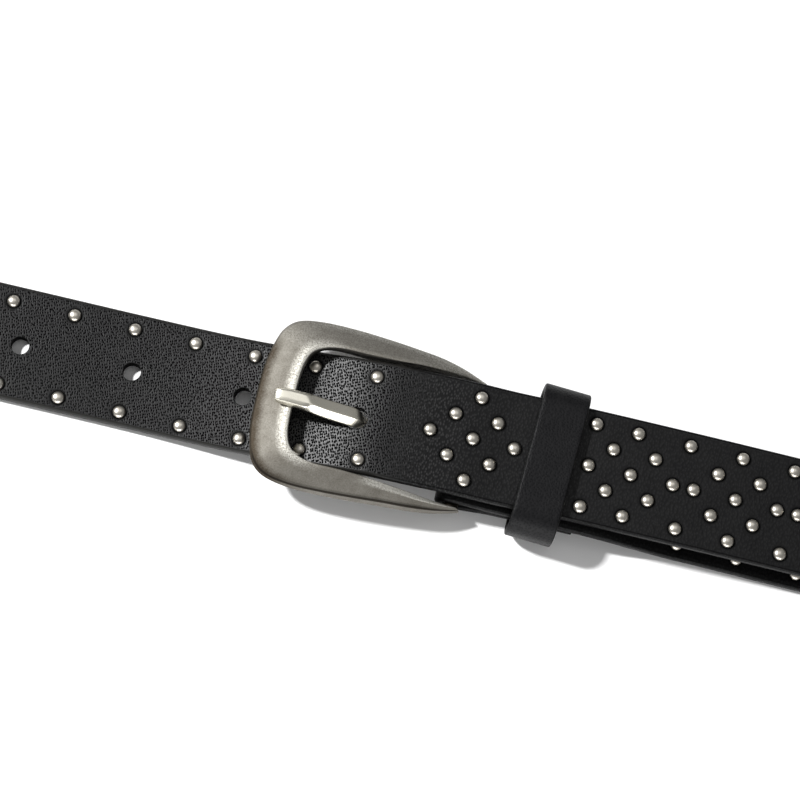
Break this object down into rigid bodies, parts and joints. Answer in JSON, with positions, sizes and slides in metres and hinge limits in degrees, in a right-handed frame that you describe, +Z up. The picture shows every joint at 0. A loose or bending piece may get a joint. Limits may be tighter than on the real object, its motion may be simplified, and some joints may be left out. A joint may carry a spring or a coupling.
{
  "type": "studded leather belt, fastened",
  "caption": "Narrow leather belt with domed studs, fastened by a prong buckle and keeper loop, lying face up at the buckle and round on its edge behind.",
  "frame": {"origin": "middle of the belt's box, on the surface that it lies on", "axes": "+X along the buckle stretch from the hole side to the free end's side, +Y from the buckle stretch towards the back of the loop, +Z up"},
  "size_m": [0.4061, 0.1554, 0.0255],
  "materials": {
    "strap_leather": "black fine-grained leather, semi-matt, black painted edges; its domed studs are antiqued nickel",
    "keeper_leather": "black smooth leather, semi-matt",
    "buckle_metal": "antiqued satin nickel plating on cast zinc alloy",
    "prong_metal": "satin nickel plating"
  },
  "bodies": {
    "root": {"belt_strap": "strap_leather", "keeper_loop": "keeper_leather", "buckle_frame": "buckle_metal", "buckle_prong": "prong_metal"}
  },
  "joints": []
}
